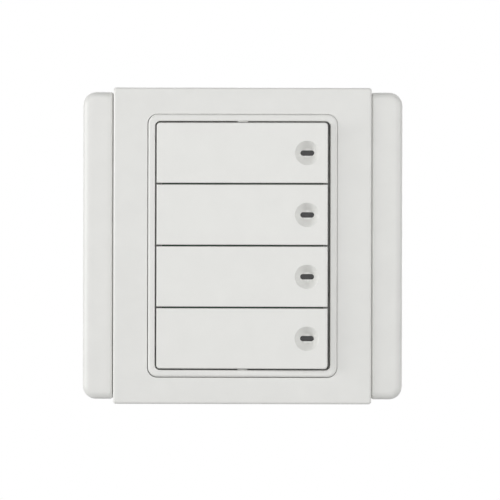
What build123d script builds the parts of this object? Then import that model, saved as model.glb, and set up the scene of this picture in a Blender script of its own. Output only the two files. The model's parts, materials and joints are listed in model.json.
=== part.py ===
"""Four-gang rocker light switch for an 86 mm wall plate, in millimetres.

Each piece is drawn lying on its back: X to the right, Y up the wall, Z out into the room, with the wall
at Z = 0. stand_up() then turns it to the mounted frame, where Z is up and the front faces -Y.
The origin is midway between the two fixing slots, on the wall.
"""
from build123d import *
from math import cos, hypot, radians, sin
import os

# How near an edge has to be to a place to count as there
EDGE_TOL = 0.001

# Overall sizes of the front
OVERALL_W = 87.0
SURROUND_W = 70.2
SURROUND_H = 86.0
FACE_SIDE = 11.3
FACE_END = 9.2
WING_INSET = 1.2
LEFT_WING_GAP = 0.22
RIGHT_WING_GAP = 0.08

# Heights off the wall
SURROUND_FACE = 8.2
WING_FACE = 7.0
BEZEL_CREST = 8.6
PLATE_FACE = 2.8
PLATE_BACK = 0.8
SURROUND_FOOT = 0.4

# Surround
SURROUND_WALL = 2.0
SURROUND_CORNER_R = 0.8
SURROUND_EDGE_R = 0.7
SURROUND_PLAY = 0.3
SURROUND_MOUTH_R = 0.15
BEZEL_SEAM = 0.1
# the surround floats on its clips and hangs a little low and to the left
SURROUND_SHIFT_X = -0.06
SURROUND_SHIFT_Y = -0.06
HOOK_X = 20.0
HOOK_INSET = 5.0
HOOK_W = 5.0
HOOK_T = 1.4
HOOK_BARB = 0.7
HOOK_FOOT = 0.1
HOOK_PLAY = 0.3
HOOK_RISE = 0.1

# Mounting frame
WING_CORNER_R = 3.6
WING_EDGE_R = 2.1
WING_INNER_EDGE_R = 0.6
WING_WALL = 1.8
RIM_W = 3.0
FIXING_PITCH = 60.3
FIXING_SLOT_W = 4.0
FIXING_SLOT_L = 5.4
FIXING_PAD = 1.4
BEZEL_BAND = 1.9
BEZEL_CORNER_R = 2.6
BEZEL_OUTER_R = 0.7
BEZEL_INNER_R = 0.3
OPENING_CORNER_R = 1.4
NIB_W = 2.7
NIB_RISE = 0.22
NIB_DROP = 0.5
STEM_WINDOW = 8.0
PIN_PASSAGE_W = 1.2
EAR_R = 2.3
EAR_T = 1.5
EAR_PLAY = 0.9
BOSS_R = 2.5
BOSS_TOP = 5.9
BOSS_HOLE_TOP = 5.2

# Rockers
GANGS = 4
ROCKER_GAP = 0.42
ROCKER_END_GAP = 0.56
ROCKER_FACE = 9.7
ROCKER_SKIN = 1.5
ROCKER_WALL = 1.2
ROCKER_DEPTH = 3.8
ROCKER_EDGE_R = 0.3
ROCKER_CORNER_R = 0.9
DISH_INSET = 5.6
DISH_D = 6.6
DISH_DEPTH = 2.4
DISH_FLOOR_R = 1.25
DISH_FLOOR_EDGE_R = 0.8
DISH_BOSS = 8.2
DISH_BOSS_T = 1.5
LENS_W = 3.7
LENS_H = 1.4
LENS_FIT = 0.04
LENS_FLANGE_W = 5.6
LENS_FLANGE_H = 2.8
LENS_FLANGE_T = 0.7
LENS_SET_BACK = 0.2
LENS_TAIL = 0.2
CLIP_W = 6.0
CLIP_T = 1.2
CLIP_FIT = 0.1
CLIP_BARB = 0.6
CLIP_BARB_T = 0.7

# Dolly, plunger and spring
PIVOT_Z = 5.4
REST_TILT = -2.5
DOLLY_DISH_GAP = 0.54
DOLLY_BAR_T = 2.0
DOLLY_EAR_PLAY = 0.2
HUB_R = 2.2
TRUNNION_R = 1.3
TRUNNION_FIT = 0.05
STEM_R = 3.0
STEM_END_GAP = 0.2
STEM_BORE_R = 1.8
STEM_BORE_TOP = 1.6
PLUNGER_REACH = 14.75
PLUNGER_GUIDE_R = 1.7
PLUNGER_GUIDE_L = 4.2
PLUNGER_TIP_R = 1.5
PLUNGER_TIP_L = 3.15
PLUNGER_SPIGOT_R = 0.9
PLUNGER_SPIGOT_L = 1.2
PLUNGER_GAP = 0.05
SPRING_R = 1.3
SPRING_WIRE = 0.45
SPRING_TURNS = 4

# Contact lever and contacts
LEVER_TILT = 9.0
LEVER_T = 0.8
LEVER_W = 5.0
LEVER_END_PLAY = 1.7
LEVER_RIGHT = 8.0
LEVER_PIN_R = 0.8
LEVER_PIN_END = 4.2
LEVER_PIN_FIT = 0.05
CONTACT_INSET = 1.5
CONTACT_R = 1.6
CONTACT_HEIGHT = 0.9
CONTACT_DOME_R = 3.4
CONTACT_CLOSED_GAP = 0.04
FIXED_CONTACT_H = 0.65

# Terminals
STRIP_T = 0.8
CHEEK_IN = 3.0
CHEEK_T = 0.8
CHEEK_HALF_W = 1.9
CHEEK_RISE = 0.7
COMMON_STRIP_DROP = 1.9
COMMON_STRIP_LEFT = -2.2
LOAD_STRIP_LAP = 2.1
LOAD_STRIP_HALF_H = 3.0
BLOCK_INSET = 1.7
BLOCK_L = 8.0
BLOCK_HALF_H = 3.75
BLOCK_DROP = 0.9
BLOCK_DEPTH = 8.0
WIRE_R = 1.9
WIRE_DEPTH = 7.0
CLAMP_INSET = 4.0
CLAMP_HOLE_R = 1.75
CLAMP_SHANK_R = 1.72
CLAMP_TIP_GAP = 0.1
CLAMP_HEAD_R = 2.6
CLAMP_HEAD_T = 1.5
CLAMP_STANDOFF = 1.2
SCREW_SLOT_W = 0.8
SCREW_SLOT_D = 0.8
SCREW_HEAD_EDGE = 0.3

# Rear housing
HOUSING_SIDE = 11.1
HOUSING_END_ROOM = 5.8
HOUSING_BACK_ROOM = 3.0
HOUSING_WALL = 1.5
HOUSING_CORNER_R = 1.5
HOUSING_EDGE = 0.8
PARTITION = 1.6
BAY_GAP = 0.4
BAY_WALL = 1.2
BAY_PLAY = 0.25
STRIP_PLAY = 0.2
RIB_HALF_H = 2.0
LUG_STANDOFF = 4.8
LUG_INSET = 12.5
LUG_MARGIN = 2.8
LUG_ROOT = 1.0
LUG_HALF_H = 3.6
LUG_T = 2.0
LUG_HOLE_R = 1.5
HOUSING_SCREW_R = 1.25
HOUSING_SCREW_FIT = 0.05
HOUSING_SCREW_HEAD_R = 2.4
HOUSING_SCREW_HEAD_T = 1.4
HOUSING_SCREW_TIP_GAP = 0.3

# Indicator board
BOARD_SIDE_PLAY = 1.8
BOARD_END_PLAY = 0.8
BOARD_T = 1.0
BOARD_WINDOW_W = 10.0
BOARD_WINDOW_PLAY = 0.5
LED_W = 3.2
LED_H = 2.8
LED_T = 0.8
RESISTOR_X = 10.0
RESISTOR_W = 3.2
RESISTOR_H = 1.6
RESISTOR_T = 0.7
BOARD_PIN_INSET = 2.0
BOARD_PIN_Y = 3.0
BOARD_PIN_W = 0.64
BOARD_PIN_FIT = 0.05
BOARD_PIN_RISE = 0.9
PEG_INSET = 4.0
PEG_R = 0.9
PEG_FIT = 0.1
PEG_RISE = 0.5

# Sizes that follow from those above
WING_H = SURROUND_H - 2 * WING_INSET
OPENING_W = SURROUND_W - 2 * FACE_SIDE
OPENING_H = SURROUND_H - 2 * FACE_END
BEZEL_W = OPENING_W + 2 * BEZEL_BAND
BEZEL_H = OPENING_H + 2 * BEZEL_BAND
HOOK_Y = SURROUND_H / 2 - HOOK_INSET
PLATE_H = SURROUND_H - 2 * (SURROUND_WALL + SURROUND_PLAY)
ROCKER_H = (OPENING_H - (GANGS + 1) * ROCKER_GAP) / GANGS
ROCKER_W = OPENING_W - 2 * ROCKER_END_GAP
PITCH = ROCKER_H + ROCKER_GAP
GANG_Y = [PITCH * ((GANGS - 1) / 2 - i) for i in range(GANGS)]
BAR_TOP = ROCKER_FACE - ROCKER_SKIN
BAR_BOTTOM = BAR_TOP - DOLLY_BAR_T
EAR_OUT = ROCKER_H / 2 - ROCKER_WALL - EAR_PLAY
EAR_IN = EAR_OUT - EAR_T
DOLLY_HALF_H = EAR_IN - DOLLY_EAR_PLAY
DISH_X = ROCKER_W / 2 - DISH_INSET
DOLLY_BAR_W = 2 * (DISH_X - DISH_BOSS / 2 - DOLLY_DISH_GAP)
DISH_BACK = BAR_TOP - DISH_BOSS_T
PLUNGER_GUIDE_END = PLUNGER_REACH - PLUNGER_TIP_L
PLUNGER_GUIDE_TOP = PLUNGER_GUIDE_END - PLUNGER_GUIDE_L
STEM_END = PLUNGER_GUIDE_END - STEM_END_GAP
LEVER_Z = PIVOT_Z - PLUNGER_REACH - PLUNGER_TIP_R - PLUNGER_GAP - LEVER_T / 2
COMMON_STRIP_FRONT = LEVER_Z - COMMON_STRIP_DROP
STRIP_BACK = COMMON_STRIP_FRONT - STRIP_T
BLOCK_FRONT = LEVER_Z - BLOCK_DROP
BLOCK_BACK = BLOCK_FRONT - BLOCK_DEPTH
WIRE_Z = (BLOCK_FRONT + BLOCK_BACK) / 2
HOUSING_BACK = BLOCK_BACK - HOUSING_BACK_ROOM
HOUSING_W = SURROUND_W - 2 * HOUSING_SIDE
HOUSING_H = (GANGS - 1) * PITCH + 2 * (HOUSING_END_ROOM + HOUSING_WALL)
LUG_X = HOUSING_W / 2 + LUG_STANDOFF
LUG_Y = HOUSING_H / 2 - LUG_INSET
LUG_OUT = LUG_X + LUG_MARGIN
BLOCK_OUT = HOUSING_W / 2 - BLOCK_INSET
BLOCK_IN = BLOCK_OUT - BLOCK_L
CLAMP_X = BLOCK_OUT - CLAMP_INSET
BAY_IN = BLOCK_IN - BAY_GAP
LEVER_LEFT = BAY_IN - BAY_WALL - LEVER_END_PLAY
CONTACT_X = LEVER_LEFT - CONTACT_INSET
LOAD_STRIP_END = CONTACT_X - LOAD_STRIP_LAP
BOARD_W = OPENING_W - 2 * BOARD_SIDE_PLAY
BOARD_H = OPENING_H - 2 * BOARD_END_PLAY
BOARD_BACK = PLATE_FACE
BOARD_FACE = BOARD_BACK + BOARD_T
BOARD_PIN_X = BLOCK_IN + BOARD_PIN_INSET
BOARD_WINDOW_H = 2 * (EAR_OUT + BOARD_WINDOW_PLAY)
PEG_X = BOARD_W / 2 - PEG_INSET
PEG_Y = PITCH / 2
CHAMBER_FLOOR = HOUSING_BACK + HOUSING_WALL
SHELF_FRONT = BLOCK_FRONT + BAY_WALL

# Where the moving contact meets the fixed one when the lever has swung over
DOME_DROP = LEVER_T / 2 + CONTACT_HEIGHT - CONTACT_DOME_R
SWING_COS, SWING_SIN = cos(radians(LEVER_TILT)), sin(radians(LEVER_TILT))
CLOSED_X = -CONTACT_X * SWING_COS + DOME_DROP * SWING_SIN
DOME_CENTRE_Z = LEVER_Z - CONTACT_X * SWING_SIN - DOME_DROP * SWING_COS
FIXED_CONTACT_TOP = DOME_CENTRE_Z - CONTACT_DOME_R - CONTACT_CLOSED_GAP
LOAD_STRIP_FRONT = FIXED_CONTACT_TOP - FIXED_CONTACT_H
LOAD_STRIP_BACK = LOAD_STRIP_FRONT - STRIP_T


def block(x0, x1, y0, y1, z0, z1):
    """A box between two opposite corners."""
    return Pos((x0 + x1) / 2, (y0 + y1) / 2, (z0 + z1) / 2) * Box(abs(x1 - x0), abs(y1 - y0), abs(z1 - z0))


def slab(width, height, z0, z1, corner_r=0.0):
    """A plate centred on the axis, with rounded corners if asked."""
    outline = RectangleRounded(width, height, corner_r) if corner_r else Rectangle(width, height)
    return Pos(0, 0, z0) * extrude(outline, z1 - z0)


def rod_x(radius, x0, x1):
    return Pos((x0 + x1) / 2, 0, 0) * Rot(0, 90, 0) * Cylinder(radius, abs(x1 - x0))


def rod_y(radius, y0, y1):
    return Pos(0, (y0 + y1) / 2, 0) * Rot(90, 0, 0) * Cylinder(radius, abs(y1 - y0))


def rod_z(radius, z0, z1):
    return Pos(0, 0, (z0 + z1) / 2) * Cylinder(radius, abs(z1 - z0))


def level_edges(body, z):
    """The edges that lie flat at one height."""
    return body.edges().filter_by_position(Axis.Z, z - EDGE_TOL, z + EDGE_TOL)


def mouth_edges(body, z, width, height):
    """The edges at one height that lie at or inside an opening of the given size."""
    reach_x, reach_y = width / 2 + EDGE_TOL, height / 2 + EDGE_TOL
    return [e for e in level_edges(body, z) if abs(e.center().X) <= reach_x and abs(e.center().Y) <= reach_y]


def corners():
    return [(sx, sy) for sx in (-1, 1) for sy in (-1, 1)]


def hook(sx, sy):
    """A snap hook behind the surround, with its barb facing outwards."""
    inner, outer = HOOK_Y - HOOK_T / 2, HOOK_Y + HOOK_T / 2
    top, catch = SURROUND_FACE - SURROUND_WALL, PLATE_BACK - HOOK_RISE
    profile = Polyline(
        (0, inner, top),
        (0, outer, top),
        (0, outer, catch),
        (0, outer + HOOK_BARB, catch),
        (0, outer, HOOK_FOOT),
        (0, inner, HOOK_FOOT),
        close=True,
    )
    leg = extrude(make_face(profile), HOOK_W / 2, dir=(1, 0, 0), both=True)
    if sy < 0:
        leg = mirror(leg, about=Plane.XZ)
    return Pos(sx * HOOK_X, 0, 0) * leg


def surround():
    body = slab(SURROUND_W, SURROUND_H, SURROUND_FOOT, SURROUND_FACE, SURROUND_CORNER_R)
    body = fillet(level_edges(body, SURROUND_FACE), SURROUND_EDGE_R)
    inside_h = SURROUND_H - 2 * SURROUND_WALL
    body -= slab(SURROUND_W - 2 * SURROUND_WALL, inside_h, SURROUND_FOOT, SURROUND_FACE - SURROUND_WALL)
    # the frame's plate runs out under both side walls to the wings
    body -= slab(SURROUND_W, inside_h, SURROUND_FOOT, PLATE_FACE)
    mouth_w, mouth_h = BEZEL_W + 2 * BEZEL_SEAM, BEZEL_H + 2 * BEZEL_SEAM
    body -= slab(mouth_w, mouth_h, SURROUND_FOOT, SURROUND_FACE, BEZEL_CORNER_R + BEZEL_SEAM)
    body = fillet(mouth_edges(body, SURROUND_FACE, mouth_w, mouth_h), SURROUND_MOUTH_R)
    for sx, sy in corners():
        body += hook(sx, sy)
    return Pos(SURROUND_SHIFT_X, SURROUND_SHIFT_Y, 0) * body


def wing_start(side):
    """How far from the middle a wing begins, next to the surround as it hangs."""
    gap = RIGHT_WING_GAP if side > 0 else LEFT_WING_GAP
    return SURROUND_W / 2 + side * SURROUND_SHIFT_X + gap


def wing(side):
    """One side wing, cored out from the back."""
    start = wing_start(side)
    width = OVERALL_W / 2 - start
    outline = Rectangle(width, WING_H)
    outline = fillet(outline.vertices().group_by(Axis.X)[-1], WING_CORNER_R)
    body = extrude(outline, WING_FACE)
    rim = level_edges(body, WING_FACE)
    inner = rim.sort_by(Axis.X)[0]
    body = fillet([e for e in rim if e != inner], WING_EDGE_R)
    inner = level_edges(body, WING_FACE).sort_by(Axis.X)[0]
    body = fillet(inner, WING_INNER_EDGE_R)
    body -= slab(width - 2 * WING_WALL, WING_H - 2 * WING_WALL, 0, WING_FACE - WING_WALL)
    body = Pos(start + width / 2, 0, 0) * body
    return body if side > 0 else mirror(body, about=Plane.YZ)


def ear(side):
    """A bearing ear for one end of a dolly's trunnions."""
    body = block(-EAR_R, EAR_R, EAR_IN, EAR_OUT, PLATE_FACE, PIVOT_Z)
    body += Pos(0, 0, PIVOT_Z) * rod_y(EAR_R, EAR_IN, EAR_OUT)
    body -= Pos(0, 0, PIVOT_Z) * rod_y(TRUNNION_R + TRUNNION_FIT, EAR_IN, EAR_OUT)
    return body if side > 0 else mirror(body, about=Plane.XZ)


def bezel():
    """The rim around the rockers, rounded over at the front, with a nib at the middle of each end."""
    body = slab(BEZEL_W, BEZEL_H, PLATE_BACK, BEZEL_CREST, BEZEL_CORNER_R)
    body = fillet(level_edges(body, BEZEL_CREST), BEZEL_OUTER_R)
    body -= slab(OPENING_W, OPENING_H, PLATE_FACE, BEZEL_CREST, OPENING_CORNER_R)
    body = fillet(mouth_edges(body, BEZEL_CREST, OPENING_W, OPENING_H), BEZEL_INNER_R)
    for side in (-1, 1):
        edge = side * OPENING_H / 2
        body += block(-NIB_W / 2, NIB_W / 2, edge, edge - side * NIB_RISE, PLATE_FACE, BEZEL_CREST - NIB_DROP)
    return body


def mounting_frame():
    left, right, end = -wing_start(-1), wing_start(1), PLATE_H / 2
    body = block(left, right, -end, end, PLATE_BACK, PLATE_FACE)
    body += bezel()
    for side in (-1, 1):
        body += block(left, right, side * (end - RIM_W), side * end, 0, PLATE_BACK)
        body += wing(side)
        pad = SlotOverall(FIXING_SLOT_L + 2 * FIXING_PAD, FIXING_SLOT_W + 2 * FIXING_PAD)
        body += Pos(side * FIXING_PITCH / 2, 0, 0) * extrude(pad, PLATE_FACE)
        slot = extrude(SlotOverall(FIXING_SLOT_L, FIXING_SLOT_W), PLATE_FACE)
        body -= Pos(side * FIXING_PITCH / 2, 0, 0) * slot
    for sx, sy in corners():
        outer = HOOK_Y + HOOK_T / 2 + HOOK_PLAY
        inner = HOOK_Y - HOOK_T / 2 - HOOK_PLAY - HOOK_BARB
        reach = HOOK_W / 2 + HOOK_PLAY
        x0, x1 = sx * HOOK_X - reach, sx * HOOK_X + reach
        body -= block(x0, x1, sy * inner, sy * outer, PLATE_BACK, PLATE_FACE)
        body -= block(x0, x1, sy * inner, sy * end, 0, PLATE_BACK)
        boss = rod_z(BOSS_R, PLATE_FACE, BOSS_TOP)
        body += Pos(sx * LUG_X, sy * LUG_Y, 0) * boss
        hole = rod_z(HOUSING_SCREW_R + HOUSING_SCREW_FIT, PLATE_BACK, BOSS_HOLE_TOP)
        body -= Pos(sx * LUG_X, sy * LUG_Y, 0) * hole
    for y in GANG_Y:
        half = STEM_WINDOW / 2
        body -= block(-half, half, y - half, y + half, PLATE_BACK, PLATE_FACE)
        for side in (-1, 1):
            body += Pos(0, y, 0) * ear(side)
            passage = slab(PIN_PASSAGE_W, PIN_PASSAGE_W, PLATE_BACK, PLATE_FACE)
            body -= Pos(side * BOARD_PIN_X, y + BOARD_PIN_Y, 0) * passage
    for side in (-1, 1):
        body += Pos(-PEG_X, side * PEG_Y, 0) * rod_z(PEG_R, PLATE_FACE, BOARD_FACE + PEG_RISE)
    return body


def rocker_outline(index):
    """A rocker's front outline: only the corners at the ends of the stack are rounded."""
    outline = Rectangle(ROCKER_W, ROCKER_H)
    if index == 0:
        outline = fillet(outline.vertices().group_by(Axis.Y)[-1], ROCKER_CORNER_R)
    if index == GANGS - 1:
        outline = fillet(outline.vertices().group_by(Axis.Y)[0], ROCKER_CORNER_R)
    return outline


def clip(side):
    """A snap leg that grips one end of the dolly's bar."""
    inner = DOLLY_BAR_W / 2 + CLIP_FIT
    catch = BAR_BOTTOM - CLIP_FIT
    leg = block(inner, inner + CLIP_T, -CLIP_W / 2, CLIP_W / 2, catch - CLIP_BARB_T, BAR_TOP)
    leg += block(inner - CLIP_BARB, inner, -CLIP_W / 2, CLIP_W / 2, catch - CLIP_BARB_T, catch)
    return leg if side > 0 else mirror(leg, about=Plane.YZ)


def dish():
    """What is cut out for the finger dish: a cone with a rounded floor."""
    cone = Pos(0, 0, ROCKER_FACE - DISH_DEPTH / 2) * Cone(DISH_FLOOR_R, DISH_D / 2, DISH_DEPTH)
    return Pos(DISH_X, 0, 0) * fillet(level_edges(cone, ROCKER_FACE - DISH_DEPTH), DISH_FLOOR_EDGE_R)


def rocker(index):
    foot = ROCKER_FACE - ROCKER_DEPTH
    body = Pos(0, 0, foot) * extrude(rocker_outline(index), ROCKER_DEPTH)
    body = fillet(level_edges(body, ROCKER_FACE), ROCKER_EDGE_R)
    body -= slab(ROCKER_W - 2 * ROCKER_WALL, ROCKER_H - 2 * ROCKER_WALL, foot, BAR_TOP)
    half = DISH_BOSS / 2
    body += block(DISH_X - half, DISH_X + half, -half, half, DISH_BACK, BAR_TOP)
    body -= dish()
    slot = extrude(SlotOverall(LENS_W + 2 * LENS_FIT, LENS_H + 2 * LENS_FIT), ROCKER_FACE - DISH_BACK)
    body -= Pos(DISH_X, 0, DISH_BACK) * slot
    for side in (-1, 1):
        body += clip(side)
    return body


def indicator_lens():
    front = ROCKER_FACE - DISH_DEPTH - LENS_SET_BACK
    body = Pos(DISH_X, 0, DISH_BACK) * extrude(SlotOverall(LENS_W, LENS_H), front - DISH_BACK)
    flange = slab(LENS_FLANGE_W, LENS_FLANGE_H, DISH_BACK - LENS_FLANGE_T, DISH_BACK)
    tail = slab(LENS_W, LENS_H, DISH_BACK - LENS_FLANGE_T - LENS_TAIL, DISH_BACK - LENS_FLANGE_T)
    return body + Pos(DISH_X, 0, 0) * (flange + tail)


def dolly():
    """The rocker's carrier, drawn about its own pivot axis."""
    top, bottom = BAR_TOP - PIVOT_Z, BAR_BOTTOM - PIVOT_Z
    body = block(-DOLLY_BAR_W / 2, DOLLY_BAR_W / 2, -DOLLY_HALF_H, DOLLY_HALF_H, bottom, top)
    body += block(-HUB_R, HUB_R, -DOLLY_HALF_H, DOLLY_HALF_H, 0, bottom)
    body += rod_y(HUB_R, -DOLLY_HALF_H, DOLLY_HALF_H)
    body += rod_y(TRUNNION_R, -EAR_OUT, EAR_OUT)
    body += rod_z(STEM_R, -STEM_END, 0)
    return body - rod_z(STEM_BORE_R, -STEM_END, -STEM_BORE_TOP)


def plunger():
    body = rod_z(PLUNGER_SPIGOT_R, -PLUNGER_GUIDE_TOP, -PLUNGER_GUIDE_TOP + PLUNGER_SPIGOT_L)
    body += rod_z(PLUNGER_GUIDE_R, -PLUNGER_GUIDE_END, -PLUNGER_GUIDE_TOP)
    body += rod_z(PLUNGER_TIP_R, -PLUNGER_REACH, -PLUNGER_GUIDE_END)
    return body + Pos(0, 0, -PLUNGER_REACH) * Sphere(PLUNGER_TIP_R)


def plunger_spring():
    """A flat-wire coil between the stem's blind end and the plunger's shoulder."""
    length = PLUNGER_GUIDE_TOP - STEM_BORE_TOP - SPRING_WIRE
    path = Helix(pitch=length / SPRING_TURNS, height=length, radius=SPRING_R)
    wire = Plane(path @ 0, x_dir=(0, 0, 1), z_dir=path % 0) * Rectangle(SPRING_WIRE, SPRING_WIRE)
    return Pos(0, 0, -PLUNGER_GUIDE_TOP + SPRING_WIRE / 2) * sweep(wire, path, is_frenet=True)


def contact_lever():
    """The see-saw strip, drawn level about its own pivot axis."""
    body = block(-LEVER_LEFT, LEVER_RIGHT, -LEVER_W / 2, LEVER_W / 2, -LEVER_T / 2, LEVER_T / 2)
    for side in (-1, 1):
        body += rod_y(LEVER_PIN_R, side * LEVER_W / 2, side * LEVER_PIN_END)
    return body


def moving_contact():
    back = -LEVER_T / 2
    apex = back - CONTACT_HEIGHT
    body = rod_z(CONTACT_R, apex, back)
    body &= Pos(0, 0, apex + CONTACT_DOME_R) * Sphere(CONTACT_DOME_R)
    return Pos(-CONTACT_X, 0, 0) * body


def fixed_contact():
    return Pos(CLOSED_X, 0, 0) * rod_z(CONTACT_R, LOAD_STRIP_FRONT, FIXED_CONTACT_TOP)


def clamp_block():
    """The screw terminal on the right, with its wire hole from the side and its screw hole from the back."""
    body = block(BLOCK_IN, BLOCK_OUT, -BLOCK_HALF_H, BLOCK_HALF_H, BLOCK_BACK, BLOCK_FRONT)
    body -= Pos(0, 0, WIRE_Z) * rod_x(WIRE_R, BLOCK_OUT - WIRE_DEPTH, BLOCK_OUT)
    return body - Pos(CLAMP_X, 0, 0) * rod_z(CLAMP_HOLE_R, BLOCK_BACK, WIRE_Z)


def common_terminal():
    outer = CHEEK_IN + CHEEK_T
    body = clamp_block()
    body += block(COMMON_STRIP_LEFT, BLOCK_IN, -outer, outer, STRIP_BACK, COMMON_STRIP_FRONT)
    top = LEVER_Z + CHEEK_RISE
    cheeks = block(-CHEEK_HALF_W, CHEEK_HALF_W, -outer, outer, COMMON_STRIP_FRONT, top)
    cheeks -= block(-CHEEK_HALF_W, CHEEK_HALF_W, -CHEEK_IN, CHEEK_IN, COMMON_STRIP_FRONT, top)
    notch_r = LEVER_PIN_R + LEVER_PIN_FIT
    cheeks -= Pos(0, 0, LEVER_Z) * rod_y(notch_r, -outer, outer)
    cheeks -= block(-notch_r, notch_r, -outer, outer, LEVER_Z, top)
    return body + cheeks


def load_terminal():
    strip = block(
        LOAD_STRIP_END, BLOCK_IN, -LOAD_STRIP_HALF_H, LOAD_STRIP_HALF_H, LOAD_STRIP_BACK, LOAD_STRIP_FRONT
    )
    return mirror(clamp_block() + strip, about=Plane.YZ)


def slotted_screw(shank_r, tip, head_front, head_r, head_t):
    """A screw driven from the back: its head is at the lower end."""
    back = head_front - head_t
    head = rod_z(head_r, back, head_front)
    body = rod_z(shank_r, head_front, tip) + chamfer(level_edges(head, back), SCREW_HEAD_EDGE)
    return body - block(-head_r, head_r, -SCREW_SLOT_W / 2, SCREW_SLOT_W / 2, back, back + SCREW_SLOT_D)


def terminal_screws():
    tip = WIRE_Z - WIRE_R - CLAMP_TIP_GAP
    screw = slotted_screw(CLAMP_SHANK_R, tip, BLOCK_BACK - CLAMP_STANDOFF, CLAMP_HEAD_R, CLAMP_HEAD_T)
    return [Pos(side * CLAMP_X, y, 0) * screw for y in GANG_Y for side in (-1, 1)]


def housing_screws():
    tip = BOSS_HOLE_TOP - HOUSING_SCREW_TIP_GAP
    screw = slotted_screw(
        HOUSING_SCREW_R, tip, PLATE_BACK - LUG_T, HOUSING_SCREW_HEAD_R, HOUSING_SCREW_HEAD_T
    )
    return [Pos(sx * LUG_X, sy * LUG_Y, 0) * screw for sx, sy in corners()]


def chamber_bounds(index):
    """The lower and upper walls of one gang's chamber."""
    y = GANG_Y[index]
    half = (PITCH - PARTITION) / 2
    limit = HOUSING_H / 2 - HOUSING_WALL
    return max(y - half, -limit), min(y + half, limit)


def terminal_bay(side):
    """The open corner that a terminal block sits in, and the slot that its strip passes through."""
    half = BLOCK_HALF_H + BAY_PLAY
    bay = block(side * BAY_IN, side * HOUSING_W / 2, -half, half, HOUSING_BACK, BLOCK_FRONT)
    slot_half = CHEEK_IN + CHEEK_T if side > 0 else LOAD_STRIP_HALF_H
    front = COMMON_STRIP_FRONT if side > 0 else LOAD_STRIP_FRONT
    wall = side * (BAY_IN - BAY_WALL)
    slot_half += STRIP_PLAY
    slot = block(wall, side * BAY_IN, -slot_half, slot_half, front - STRIP_T - STRIP_PLAY, front + STRIP_PLAY)
    return bay + slot


def rear_housing():
    body = slab(HOUSING_W, HOUSING_H, HOUSING_BACK, PLATE_BACK, HOUSING_CORNER_R)
    body = chamfer(level_edges(body, HOUSING_BACK), HOUSING_EDGE)
    for sx, sy in corners():
        y0, y1 = sy * LUG_Y - LUG_HALF_H, sy * LUG_Y + LUG_HALF_H
        body += block(sx * (HOUSING_W / 2 - LUG_ROOT), sx * LUG_OUT, y0, y1, PLATE_BACK - LUG_T, PLATE_BACK)
        body -= Pos(sx * LUG_X, sy * LUG_Y, 0) * rod_z(LUG_HOLE_R, PLATE_BACK - LUG_T, PLATE_BACK)
    inner_x = BAY_IN - BAY_WALL
    wide_x = HOUSING_W / 2 - HOUSING_WALL
    for i, y in enumerate(GANG_Y):
        y0, y1 = chamber_bounds(i)
        body -= block(-inner_x, inner_x, y0, y1, CHAMBER_FLOOR, PLATE_BACK)
        body -= block(-wide_x, wide_x, y0, y1, SHELF_FRONT, PLATE_BACK)
        # ribs that the two strips lie on
        low, high = y - RIB_HALF_H, y + RIB_HALF_H
        body += block(COMMON_STRIP_LEFT, inner_x, low, high, CHAMBER_FLOOR, STRIP_BACK)
        body += block(-inner_x, -LOAD_STRIP_END, low, high, CHAMBER_FLOOR, LOAD_STRIP_BACK)
        for side in (-1, 1):
            body -= Pos(0, y, 0) * terminal_bay(side)
            passage = slab(PIN_PASSAGE_W, PIN_PASSAGE_W, BLOCK_FRONT, SHELF_FRONT)
            body -= Pos(side * BOARD_PIN_X, y + BOARD_PIN_Y, 0) * passage
    return body


def indicator_board():
    body = slab(BOARD_W, BOARD_H, BOARD_BACK, BOARD_FACE)
    half_w, half_h = BOARD_WINDOW_W / 2, BOARD_WINDOW_H / 2
    hole_r = hypot(BOARD_PIN_W, BOARD_PIN_W) / 2 + BOARD_PIN_FIT
    for y in GANG_Y:
        body -= block(-half_w, half_w, y - half_h, y + half_h, BOARD_BACK, BOARD_FACE)
        for side in (-1, 1):
            hole = rod_z(hole_r, BOARD_BACK, BOARD_FACE)
            body -= Pos(side * BOARD_PIN_X, y + BOARD_PIN_Y, 0) * hole
    for side in (-1, 1):
        body -= Pos(-PEG_X, side * PEG_Y, 0) * rod_z(PEG_R + PEG_FIT, BOARD_BACK, BOARD_FACE)
    return body


def indicator_led():
    return Pos(DISH_X, 0, 0) * slab(LED_W, LED_H, BOARD_FACE, BOARD_FACE + LED_T)


def led_resistor():
    return Pos(RESISTOR_X, 0, 0) * slab(RESISTOR_W, RESISTOR_H, BOARD_FACE, BOARD_FACE + RESISTOR_T)


def board_pins():
    pin = slab(BOARD_PIN_W, BOARD_PIN_W, BLOCK_FRONT, BOARD_FACE + BOARD_PIN_RISE)
    return [Pos(side * BOARD_PIN_X, y + BOARD_PIN_Y, 0) * pin for y in GANG_Y for side in (-1, 1)]


def about_pivot(body):
    """Tilt a piece drawn in the level position about the rocker's pivot, to the rest position."""
    return Pos(0, 0, PIVOT_Z) * Rot(0, REST_TILT, 0) * Pos(0, 0, -PIVOT_Z) * body


def on_pivot(body):
    """Place a piece drawn about the rocker's pivot axis, in the rest position."""
    return Pos(0, 0, PIVOT_Z) * Rot(0, REST_TILT, 0) * body


def on_lever_pivot(body):
    return Pos(0, 0, LEVER_Z) * Rot(0, LEVER_TILT, 0) * body


def stand_up(body):
    """Turn a piece from lying on its back to standing against the wall."""
    return Rot(90, 0, 0) * body


def save(name, *bodies):
    solids = [s for b in bodies for s in stand_up(b).solids()]
    shape = solids[0] if len(solids) == 1 else Compound(children=solids)
    export_step(shape, os.path.join("parts", name + ".step"))


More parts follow.
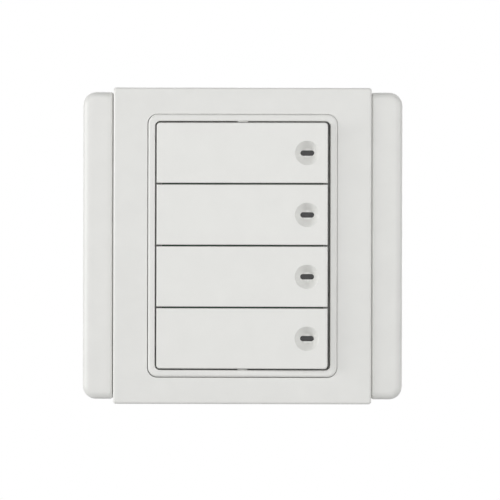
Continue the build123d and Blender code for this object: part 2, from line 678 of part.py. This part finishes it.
def main():
    os.makedirs("parts", exist_ok=True)
    save("mounting_frame", mounting_frame())
    save("surround", surround())
    save("rear_housing", rear_housing())
    save("terminal_screws", *terminal_screws())
    save("housing_screws", *housing_screws())
    save("indicator_board", indicator_board())
    save("board_pins", *board_pins())
    gang_pieces = {
        "indicator_lens": about_pivot(indicator_lens()),
        "dolly": on_pivot(dolly()),
        "plunger": on_pivot(plunger()),
        "plunger_spring": on_pivot(plunger_spring()),
        "contact_lever": on_lever_pivot(contact_lever()),
        "moving_contact": on_lever_pivot(moving_contact()),
        "fixed_contact": fixed_contact(),
        "common_terminal": common_terminal(),
        "load_terminal": load_terminal(),
        "indicator_led": indicator_led(),
        "led_resistor": led_resistor(),
    }
    for i, y in enumerate(GANG_Y):
        save(f"rocker_{i + 1}", Pos(0, y, 0) * about_pivot(rocker(i)))
        for name, piece in gang_pieces.items():
            save(f"{name}_{i + 1}", Pos(0, y, 0) * piece)


main()
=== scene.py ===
"""Looks of the four-gang light switch: its materials, with light and camera as in the photograph."""
import json
import math
import bpy
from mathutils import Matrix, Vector


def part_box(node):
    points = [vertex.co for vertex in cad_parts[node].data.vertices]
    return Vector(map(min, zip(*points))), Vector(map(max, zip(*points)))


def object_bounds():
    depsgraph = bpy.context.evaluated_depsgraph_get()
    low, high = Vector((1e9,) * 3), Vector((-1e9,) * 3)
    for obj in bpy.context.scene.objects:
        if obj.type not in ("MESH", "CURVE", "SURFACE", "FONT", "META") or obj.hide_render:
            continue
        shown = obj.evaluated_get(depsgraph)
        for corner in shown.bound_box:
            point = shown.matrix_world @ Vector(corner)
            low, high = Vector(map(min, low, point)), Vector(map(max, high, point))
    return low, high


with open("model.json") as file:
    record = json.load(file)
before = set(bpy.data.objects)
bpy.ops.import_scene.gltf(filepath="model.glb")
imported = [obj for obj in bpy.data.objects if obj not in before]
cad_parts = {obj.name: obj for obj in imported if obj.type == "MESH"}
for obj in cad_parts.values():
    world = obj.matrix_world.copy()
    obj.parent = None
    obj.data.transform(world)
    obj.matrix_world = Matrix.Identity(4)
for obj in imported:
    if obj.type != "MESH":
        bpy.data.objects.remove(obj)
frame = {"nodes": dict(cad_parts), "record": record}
cad_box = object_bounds()

MM = 0.001

# The photograph: its frame, where the middle of the rockers' opening lies in it, and its scale
PHOTO_PX = 500
OPENING_MIDDLE_PX = (242.1, 245.2)
MM_PER_PX = 0.2715
ROLL_DEG = 0.125
CAMERA_DISTANCE = 0.9
SENSOR_MM = 36.0

# Soft lamps: where each stands, its width and its power; and the even light of a white room
LAMPS = {
    "front": (Vector((-0.1, -2.3, 0.6)), 2.4, 29.0),
    "left": (Vector((-2.0, -1.1, 0.4)), 0.9, 13.0),
    "edge": (Vector((-2.2, -0.25, 0.15)), 0.9, 16.0),
    "right": (Vector((2.0, -1.2, 0.3)), 0.9, 13.0),
    "back": (Vector((0.4, 2.4, 0.4)), 3.0, 40.0),
}
ROOM_LEVEL = 0.12
WHITE = (1.0, 1.0, 1.0, 1.0)

# Floor: its place and size, where it fades into the white room, and its share of white near the switch
FLOOR_DROP = 0.12
FLOOR_HALF = 0.8
FLOOR_FADE_FROM = 0.25
FLOOR_FADE_TO = 0.7
FLOOR_GLOW = 0.5
FLOOR_COLOUR = (0.9, 0.9, 0.9, 1.0)

# Colours of the plastics
FRONT_WHITE = (0.775, 0.775, 0.752)
ROCKER_WHITE = (0.785, 0.785, 0.76)
HOUSING_WHITE = (0.70, 0.70, 0.675)
DOLLY_GREY = (0.56, 0.56, 0.545)
NYLON = (0.72, 0.69, 0.6)
SMOKE = (0.012, 0.012, 0.012)

# Colours of the metals
BRASS = (0.72, 0.52, 0.2)
COPPER = (0.72, 0.36, 0.2)
SILVER = (0.82, 0.81, 0.79)
ZINC = (0.62, 0.64, 0.67)
SPRING_STEEL = (0.5, 0.5, 0.52)
TIN = (0.7, 0.7, 0.7)

# Colours of the board and of what is on it
MASK_GREEN = (0.02, 0.11, 0.045)
LED_WHITE = (0.82, 0.82, 0.78)
LED_YELLOW = (0.8, 0.62, 0.12)
RESISTOR_BLACK = (0.02, 0.02, 0.022)

# Sizes of the surface detail
MOTTLE_SIZE = 7 * MM
GRAIN_SIZE = 0.16 * MM
GRAIN_DEPTH = 0.003 * MM
BRUSH_SIZE = 0.12 * MM
BRUSH_LENGTH = 3 * MM
SMOKE_SIZE = 1.2 * MM
WEAVE_SIZE = 0.5 * MM

# Darkest and lightest tone of an uneven surface, as shares of its colour
STAIN_TONES = (0.86, 1.04)
SMOKE_TONES = (0.8, 1.3)
WEAVE_TONES = (0.9, 1.15)

# Gloss: refractive indices, how far roughness strays from a given value, and its range or value elsewhere
PLASTIC_IOR = 1.5
LENS_IOR = 1.4
PLASTIC_STRAY = 0.05
METAL_STRAY_DOWN = 0.08
METAL_STRAY_UP = 0.1
LENS_ROUGHNESS = (0.18, 0.28)
MASK_ROUGHNESS = (0.28, 0.4)
LED_ROUGHNESS = 0.3
CAP_ROUGHNESS = 0.35
GLAZE_ROUGHNESS = 0.25

# Where one tone goes over to the next: in values of a noise, in half widths of the LED in from its rim,
# and in shares of the resistor's length
NOISE_SPAN = (0.3, 0.7)
PHOSPHOR_EDGE = (0.2, 0.28)
CAP_EDGE = (0.15, 0.17)


def rgba(colour, gain=1.0):
    return (*[min(1.0, c * gain) for c in colour], 1.0)


def add(tree, kind, settings=None, **inputs):
    """A shader node with its settings and input values."""
    node = tree.nodes.new("ShaderNode" + kind)
    for name, value in (settings or {}).items():
        setattr(node, name, value)
    for name, value in inputs.items():
        node.inputs[name.replace("_", " ")].default_value = value
    return node


def empty_tree(owner):
    """The node tree of a material or world, with nothing in it."""
    owner.use_nodes = True
    owner.node_tree.nodes.clear()
    return owner.node_tree


def new_material(name, **surface):
    """A material with a Principled shader whose even values are set on its own sockets."""
    material = bpy.data.materials.new(name)
    tree = empty_tree(material)
    shader = add(tree, "BsdfPrincipled", **surface)
    output = add(tree, "OutputMaterial")
    tree.links.new(shader.outputs["BSDF"], output.inputs["Surface"])
    return material, tree, shader


def noise(tree, vector, size, detail=2.0):
    node = add(tree, "TexNoise", Scale=1.0 / size, Detail=detail)
    tree.links.new(vector, node.inputs["Vector"])
    return node.outputs["Fac"]


def colour_between(tree, value, low, high, span=NOISE_SPAN):
    """A colour ramp from one colour to another as a value crosses a span."""
    ramp = add(tree, "ValToRGB")
    first, last = ramp.color_ramp.elements
    first.position, last.position = span
    first.color, last.color = low, high
    tree.links.new(value, ramp.inputs["Fac"])
    return ramp.outputs["Color"]


def number_between(tree, value, low, high, span=NOISE_SPAN):
    """A number that goes from low to high as a value crosses a span."""
    node = add(tree, "MapRange", From_Min=span[0], From_Max=span[1], To_Min=low, To_Max=high)
    tree.links.new(value, node.inputs["Value"])
    return node.outputs["Result"]


def raise_surface(tree, shader, height, depth):
    bump = add(tree, "Bump", Strength=1.0, Distance=depth)
    tree.links.new(height, bump.inputs["Height"])
    tree.links.new(bump.outputs["Normal"], shader.inputs["Normal"])


def moulded_plastic(name, colour, roughness, mottle=0.015, grain=1.0):
    """Moulded plastic: a faint unevenness of tone and the fine grain of the mould."""
    material, tree, shader = new_material(name, IOR=PLASTIC_IOR)
    place = add(tree, "TexCoord").outputs["Object"]
    tone = noise(tree, place, MOTTLE_SIZE, detail=3.0)
    shade = colour_between(tree, tone, rgba(colour, 1 - mottle), rgba(colour, 1 + mottle))
    tree.links.new(shade, shader.inputs["Base Color"])
    fine = noise(tree, place, GRAIN_SIZE)
    gloss = number_between(tree, fine, roughness - PLASTIC_STRAY, roughness + PLASTIC_STRAY)
    tree.links.new(gloss, shader.inputs["Roughness"])
    raise_surface(tree, shader, fine, GRAIN_DEPTH * grain)
    return material


def brushed_metal(name, colour, roughness, stretch=(1.0, 1.0, 1.0)):
    """Bare or plated metal with fine drawing marks along the axis that is stretched."""
    material, tree, shader = new_material(name, Metallic=1.0)
    place = add(tree, "TexCoord").outputs["Object"]
    mapping = add(tree, "Mapping", Scale=stretch)
    tree.links.new(place, mapping.inputs["Vector"])
    marks = noise(tree, mapping.outputs["Vector"], BRUSH_SIZE)
    stain = noise(tree, place, BRUSH_LENGTH, detail=4.0)
    shade = colour_between(tree, stain, *[rgba(colour, tone) for tone in STAIN_TONES])
    tree.links.new(shade, shader.inputs["Base Color"])
    gloss = number_between(tree, marks, roughness - METAL_STRAY_DOWN, roughness + METAL_STRAY_UP)
    tree.links.new(gloss, shader.inputs["Roughness"])
    raise_surface(tree, shader, marks, GRAIN_DEPTH)
    return material


def smoked_lens(name):
    """Dark plastic, a little clouded."""
    material, tree, shader = new_material(name, IOR=LENS_IOR)
    place = add(tree, "TexCoord").outputs["Object"]
    cloud = noise(tree, place, SMOKE_SIZE)
    shade = colour_between(tree, cloud, *[rgba(SMOKE, tone) for tone in SMOKE_TONES])
    tree.links.new(shade, shader.inputs["Base Color"])
    tree.links.new(number_between(tree, cloud, *LENS_ROUGHNESS), shader.inputs["Roughness"])
    return material


def circuit_board(name):
    """Green solder mask over a glass weave that shows faintly through it."""
    material, tree, shader = new_material(name, IOR=PLASTIC_IOR)
    place = add(tree, "TexCoord").outputs["Object"]
    dark, light = [rgba(MASK_GREEN, tone) for tone in WEAVE_TONES]
    weave = add(tree, "TexChecker", Scale=1.0 / WEAVE_SIZE, Color1=dark, Color2=light)
    tree.links.new(place, weave.inputs["Vector"])
    tree.links.new(weave.outputs["Color"], shader.inputs["Base Color"])
    cloud = noise(tree, place, MOTTLE_SIZE)
    tree.links.new(number_between(tree, cloud, *MASK_ROUGHNESS), shader.inputs["Roughness"])
    raise_surface(tree, shader, weave.outputs["Fac"], GRAIN_DEPTH)
    return material


def led_package(name):
    """A white package with a round spot of yellow phosphor at the middle of its face."""
    material, tree, shader = new_material(name, IOR=PLASTIC_IOR, Roughness=LED_ROUGHNESS)
    place = add(tree, "TexCoord").outputs["Generated"]
    # From 0 to 1 across the piece to -1 to 1 about its middle, and flat along Y
    mapping = add(tree, "Mapping", Location=(-1.0, 0.0, -1.0), Scale=(2.0, 0.0, 2.0))
    tree.links.new(place, mapping.inputs["Vector"])
    spot = add(tree, "TexGradient", {"gradient_type": "SPHERICAL"})
    tree.links.new(mapping.outputs["Vector"], spot.inputs["Vector"])
    shade = colour_between(tree, spot.outputs["Fac"], rgba(LED_WHITE), rgba(LED_YELLOW), PHOSPHOR_EDGE)
    tree.links.new(shade, shader.inputs["Base Color"])
    return material


def chip_resistor(name):
    """A black glazed chip with tinned caps at its two ends."""
    material, tree, shader = new_material(name)
    place = add(tree, "TexCoord").outputs["Generated"]
    split = add(tree, "SeparateXYZ")
    tree.links.new(place, split.inputs["Vector"])
    # Folded at the middle, so that the value is the distance from the nearer end
    fold = add(tree, "Math", {"operation": "PINGPONG"})
    fold.inputs[1].default_value = 0.5
    tree.links.new(split.outputs["X"], fold.inputs[0])
    from_end = fold.outputs["Value"]
    shade = colour_between(tree, from_end, rgba(TIN), rgba(RESISTOR_BLACK), CAP_EDGE)
    metal = number_between(tree, from_end, 1.0, 0.0, CAP_EDGE)
    gloss = number_between(tree, from_end, CAP_ROUGHNESS, GLAZE_ROUGHNESS, CAP_EDGE)
    tree.links.new(shade, shader.inputs["Base Color"])
    tree.links.new(metal, shader.inputs["Metallic"])
    tree.links.new(gloss, shader.inputs["Roughness"])
    return material


def dress_nodes():
    """Gives every solid the material of its slot in the record."""
    lengthways = (BRUSH_SIZE / BRUSH_LENGTH, 1.0, 1.0)
    finishes = {
        "frame_plastic": moulded_plastic("frame_plastic", FRONT_WHITE, roughness=0.4),
        "surround_plastic": moulded_plastic("surround_plastic", FRONT_WHITE, roughness=0.38),
        "rocker_plastic": moulded_plastic("rocker_plastic", ROCKER_WHITE, roughness=0.32,
                                          mottle=0.012, grain=0.7),
        "housing_plastic": moulded_plastic("housing_plastic", HOUSING_WHITE, roughness=0.5,
                                           mottle=0.03, grain=2.0),
        "lens_plastic": smoked_lens("lens_plastic"),
        "dolly_plastic": moulded_plastic("dolly_plastic", DOLLY_GREY, roughness=0.45, mottle=0.03),
        "plunger_plastic": moulded_plastic("plunger_plastic", NYLON, roughness=0.4, mottle=0.03),
        "spring_steel": brushed_metal("spring_steel", SPRING_STEEL, roughness=0.3),
        "copper_strip": brushed_metal("copper_strip", COPPER, roughness=0.32, stretch=lengthways),
        "contact_silver": brushed_metal("contact_silver", SILVER, roughness=0.28),
        "terminal_brass": brushed_metal("terminal_brass", BRASS, roughness=0.34, stretch=lengthways),
        "screw_steel": brushed_metal("screw_steel", ZINC, roughness=0.36),
        "board_laminate": circuit_board("board_laminate"),
        "tinned_pin": brushed_metal("tinned_pin", TIN, roughness=0.35),
        "led_resin": led_package("led_resin"),
        "resistor_body": chip_resistor("resistor_body"),
    }
    for part in frame["record"]["subparts"]:
        mesh = frame["nodes"][part["node"]].data
        mesh.materials.clear()
        mesh.materials.append(finishes[part["material_slot"]])


def white_to_the_eye(tree):
    """1 for rays from the camera, a reflection or clear plastic, 0 for the light that falls on things."""
    path = add(tree, "LightPath")
    total = path.outputs["Is Camera Ray"]
    for ray in ("Is Glossy Ray", "Is Transmission Ray"):
        either = add(tree, "Math", {"operation": "MAXIMUM"})
        tree.links.new(total, either.inputs[0])
        tree.links.new(path.outputs[ray], either.inputs[1])
        total = either.outputs["Value"]
    return total


def mix_into(tree, output, share, first, second):
    """Sends an output the first shader where the share is 0, and the second where it is 1."""
    choice = add(tree, "MixShader")
    tree.links.new(share, choice.inputs["Fac"])
    tree.links.new(first, choice.inputs[1])
    tree.links.new(second, choice.inputs[2])
    tree.links.new(choice.outputs["Shader"], add(tree, output).inputs["Surface"])


def room():
    """An even light, and plain white where the room is seen."""
    world = bpy.data.worlds.new("room")
    tree = empty_tree(world)
    light = add(tree, "Background", Color=WHITE, Strength=ROOM_LEVEL).outputs["Background"]
    backdrop = add(tree, "Background", Color=WHITE, Strength=1.0).outputs["Background"]
    mix_into(tree, "OutputWorld", white_to_the_eye(tree), light, backdrop)
    bpy.context.scene.world = world


def floor_material():
    """Pale and matt near the switch, and white like the room away from it."""
    material = bpy.data.materials.new("floor")
    tree = empty_tree(material)
    matt = add(tree, "BsdfDiffuse", Color=FLOOR_COLOUR).outputs["BSDF"]
    glow = add(tree, "Emission", Color=WHITE, Strength=1.0).outputs["Emission"]
    reach = add(tree, "VectorMath", {"operation": "LENGTH"})
    tree.links.new(add(tree, "TexCoord").outputs["Object"], reach.inputs[0])
    away = number_between(tree, reach.outputs["Value"], FLOOR_GLOW, 1.0, (FLOOR_FADE_FROM, FLOOR_FADE_TO))
    share = add(tree, "Math", {"operation": "MULTIPLY"})
    tree.links.new(away, share.inputs[0])
    tree.links.new(white_to_the_eye(tree), share.inputs[1])
    mix_into(tree, "OutputMaterial", share.outputs["Value"], matt, glow)
    return material


def floor():
    """A pale floor well under the switch."""
    level = cad_box[0].z - FLOOR_DROP
    corners = [(sx * FLOOR_HALF, sy * FLOOR_HALF, level) for sx, sy in ((-1, -1), (1, -1), (1, 1), (-1, 1))]
    mesh = bpy.data.meshes.new("floor")
    mesh.from_pydata(corners, [], [(0, 1, 2, 3)])
    mesh.materials.append(floor_material())
    plane = bpy.data.objects.new("floor", mesh)
    bpy.context.scene.collection.objects.link(plane)


def soft_lamp(name, place, size, power):
    """A square lamp that faces the switch."""
    lamp = bpy.data.lights.new(name, "AREA")
    lamp.shape = "SQUARE"
    lamp.size = size
    lamp.energy = power
    made = bpy.data.objects.new(name, lamp)
    made.location = place
    made.rotation_euler = (-place).to_track_quat("-Z", "Y").to_euler()
    bpy.context.scene.collection.objects.link(made)


def camera():
    """Straight in front, with the rockers' opening at the photograph's place and scale."""
    pixel = MM_PER_PX * MM
    middle = (PHOTO_PX - 1) / 2
    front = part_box("mounting_frame")[0].y
    optics = bpy.data.cameras.new("camera")
    optics.sensor_width = SENSOR_MM
    optics.lens = SENSOR_MM * CAMERA_DISTANCE / (PHOTO_PX * pixel)
    made = bpy.data.objects.new("camera", optics)
    across = (middle - OPENING_MIDDLE_PX[0]) * pixel
    down = (middle - OPENING_MIDDLE_PX[1]) * pixel
    made.location = (across, front - CAMERA_DISTANCE, -down)
    made.rotation_euler = (math.pi / 2, -math.radians(ROLL_DEG), 0.0)
    bpy.context.scene.collection.objects.link(made)
    bpy.context.scene.camera = made


dress_nodes()
room()
floor()
for name, (place, size, power) in LAMPS.items():
    soft_lamp(name, place, size, power)
camera()
bpy.context.scene.view_settings.view_transform = "Standard"
